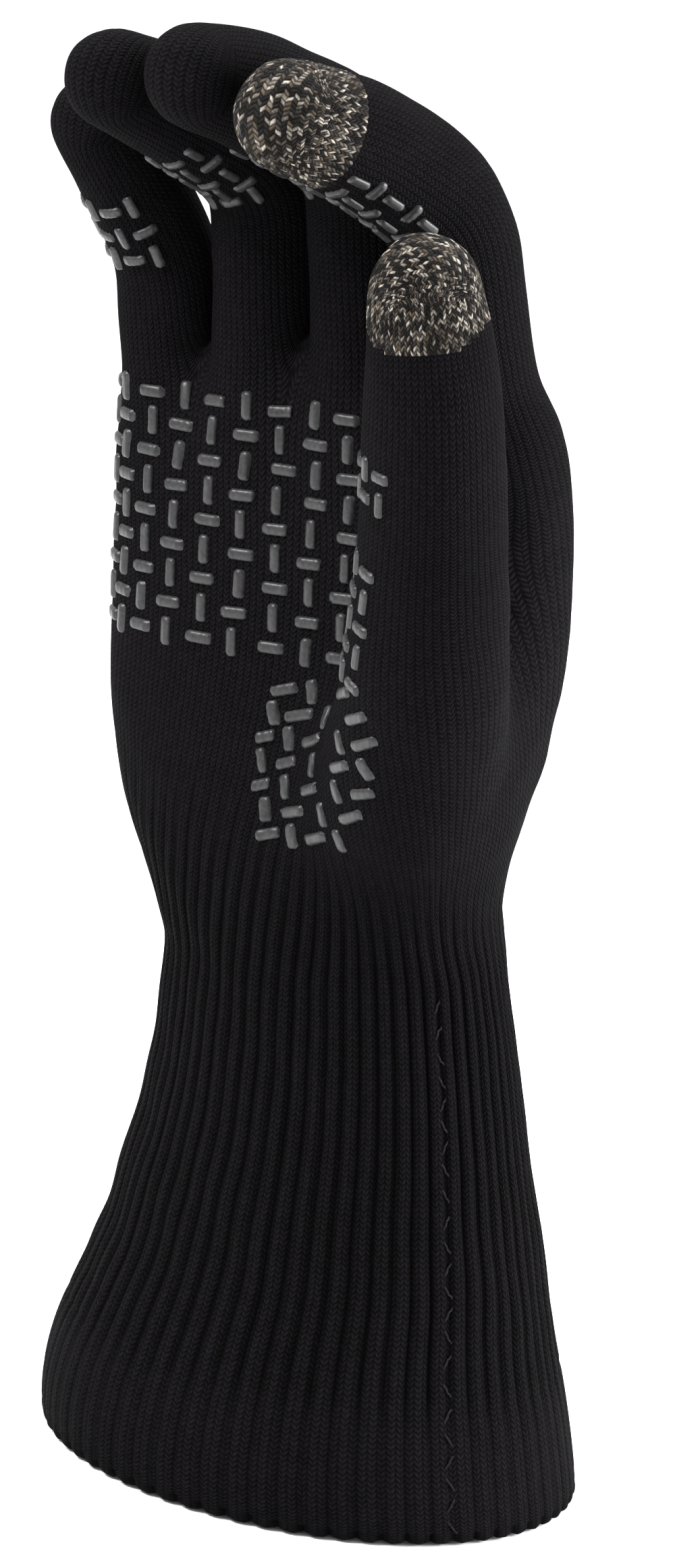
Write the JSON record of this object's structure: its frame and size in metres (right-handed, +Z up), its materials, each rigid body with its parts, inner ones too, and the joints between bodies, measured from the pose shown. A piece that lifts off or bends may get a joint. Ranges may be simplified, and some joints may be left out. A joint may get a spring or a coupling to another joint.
{
  "type": "long-cuff knit touchscreen glove",
  "caption": "Right-hand knit glove with a long flared ribbed cuff, touchscreen thumb and index tips, and raised rubber grip bars on the palm side.",
  "frame": {"origin": "centre of the cuff's hem ring, on the hem plane", "axes": "+Z up from the hem to the fingertips, +X towards the thumb side, the palm faces -Y; the hand leans 5.6 degrees towards the palm and little-finger side"},
  "size_m": [0.1098, 0.1112, 0.2761],
  "materials": {
    "knit": "matte",
    "cuff": "matte",
    "touch": "matte",
    "grip": "satin",
    "lining": "matte",
    "thread": "matte"
  },
  "bodies": {
    "cuff": {"cuff_rib": "cuff", "cuff_welt": "cuff", "cuff_lining": "lining", "cuff_side_seam": "thread"},
    "hand": {"palm_knit": "knit", "palm_lining": "lining", "palm_grip": "grip", "thenar_grip": "grip", "thumb_side_grip": "grip"},
    "thumb_root": {"thumb_root_knit": "knit", "thumb_root_lining": "lining"},
    "thumb_middle": {"thumb_middle_knit": "knit", "thumb_middle_lining": "lining", "thumb_middle_grip": "grip"},
    "thumb_tip": {"thumb_tip_knit": "knit", "thumb_touch_cap": "touch", "thumb_tip_lining": "lining"},
    "index_base": {"index_base_knit": "knit", "index_base_lining": "lining"},
    "index_middle": {"index_middle_knit": "knit", "index_middle_lining": "lining", "index_grip": "grip"},
    "index_tip": {"index_tip_knit": "knit", "index_touch_cap": "touch", "index_tip_lining": "lining"},
    "middle_base": {"middle_base_knit": "knit", "middle_base_lining": "lining"},
    "middle_middle": {"middle_middle_knit": "knit", "middle_middle_lining": "lining", "middle_grip": "grip"},
    "middle_tip": {"middle_tip_knit": "knit", "middle_tip_lining": "lining"},
    "ring_base": {"ring_base_knit": "knit", "ring_base_lining": "lining"},
    "ring_middle": {"ring_middle_knit": "knit", "ring_middle_lining": "lining", "ring_grip": "grip"},
    "ring_tip": {"ring_tip_knit": "knit", "ring_tip_lining": "lining"},
    "little_base": {"little_base_knit": "knit", "little_base_lining": "lining"},
    "little_middle": {"little_middle_knit": "knit", "little_middle_lining": "lining", "little_grip": "grip"},
    "little_tip": {"little_tip_knit": "knit", "little_tip_lining": "lining"}
  },
  "joints": [
    {"name": "wrist_flex", "type": "hinge", "parent": "cuff", "child": "hand", "pos_m": [-0.00344, -0.0033, 0.10001], "axis": [0.9975, -0.0024, 0.0702], "range_deg": [-25, 25]},
    {"name": "thumb_swing", "type": "hinge", "parent": "hand", "child": "thumb_root", "pos_m": [0.039, -0.03415, 0.18832], "axis": [0.8256, 0.556, 0.0961], "range_deg": [-3, 18]},
    {"name": "thumb_knuckle", "type": "hinge", "parent": "thumb_root", "child": "thumb_middle", "pos_m": [0.03968, -0.03673, 0.20126], "axis": [0.6945, -0.7195, 0], "range_deg": [-8, 12]},
    {"name": "thumb_bend", "type": "hinge", "parent": "thumb_middle", "child": "thumb_tip", "pos_m": [0.04075, -0.04052, 0.21866], "axis": [0.6945, -0.7195, 0], "range_deg": [-15, 25]},
    {"name": "index_knuckle", "type": "hinge", "parent": "hand", "child": "index_base", "pos_m": [0.02129, -0.0083, 0.21144], "axis": [0.9975, -0.0024, 0.0702], "range_deg": [-25, 12]},
    {"name": "index_bend", "type": "hinge", "parent": "index_base", "child": "index_middle", "pos_m": [0.01831, -0.01619, 0.24636], "axis": [0.9975, -0.0024, 0.0702], "range_deg": [-40, 14]},
    {"name": "index_tip_bend", "type": "hinge", "parent": "index_middle", "child": "index_tip", "pos_m": [0.01592, -0.04115, 0.25957], "axis": [0.9975, -0.0024, 0.0702], "range_deg": [-20, 7]},
    {"name": "middle_knuckle", "type": "hinge", "parent": "hand", "child": "middle_base", "pos_m": [-0.00198, -0.00978, 0.2102], "axis": [0.9975, -0.0024, 0.0702], "range_deg": [-25, 25]},
    {"name": "middle_bend", "type": "hinge", "parent": "middle_base", "child": "middle_middle", "pos_m": [-0.00513, -0.01462, 0.25185], "axis": [0.9975, -0.0024, 0.0702], "range_deg": [-45, 22]},
    {"name": "middle_tip_bend", "type": "hinge", "parent": "middle_middle", "child": "middle_tip", "pos_m": [-0.00674, -0.0445, 0.26377], "axis": [0.9975, -0.0024, 0.0702], "range_deg": [-22.5, 11]},
    {"name": "ring_knuckle", "type": "hinge", "parent": "hand", "child": "ring_base", "pos_m": [-0.02344, -0.01405, 0.20589], "axis": [0.9975, -0.0024, 0.0702], "range_deg": [-25, 25]},
    {"name": "ring_bend", "type": "hinge", "parent": "ring_base", "child": "ring_middle", "pos_m": [-0.02671, -0.01672, 0.24516], "axis": [0.9975, -0.0024, 0.0702], "range_deg": [-45, 22]},
    {"name": "ring_tip_bend", "type": "hinge", "parent": "ring_middle", "child": "ring_tip", "pos_m": [-0.02763, -0.04411, 0.2573], "axis": [0.9975, -0.0024, 0.0702], "range_deg": [-22.5, 11]},
    {"name": "little_knuckle", "type": "hinge", "parent": "hand", "child": "little_base", "pos_m": [-0.04307, -0.01868, 0.19966], "axis": [0.9975, -0.0024, 0.0702], "range_deg": [-25, 25]},
    {"name": "little_bend", "type": "hinge", "parent": "little_base", "child": "little_middle", "pos_m": [-0.04638, -0.02194, 0.22533], "axis": [0.9975, -0.0024, 0.0702], "range_deg": [-30, 22]},
    {"name": "little_tip_bend", "type": "hinge", "parent": "little_middle", "child": "little_tip", "pos_m": [-0.04748, -0.0335, 0.24054], "axis": [0.9975, -0.0024, 0.0702], "range_deg": [-15, 11]}
  ],
  "couplings": [
    {"joint": "index_tip_bend", "follows": "index_bend", "ratio": 0.5},
    {"joint": "middle_tip_bend", "follows": "middle_bend", "ratio": 0.5},
    {"joint": "ring_tip_bend", "follows": "ring_bend", "ratio": 0.5},
    {"joint": "little_tip_bend", "follows": "little_bend", "ratio": 0.5}
  ]
}
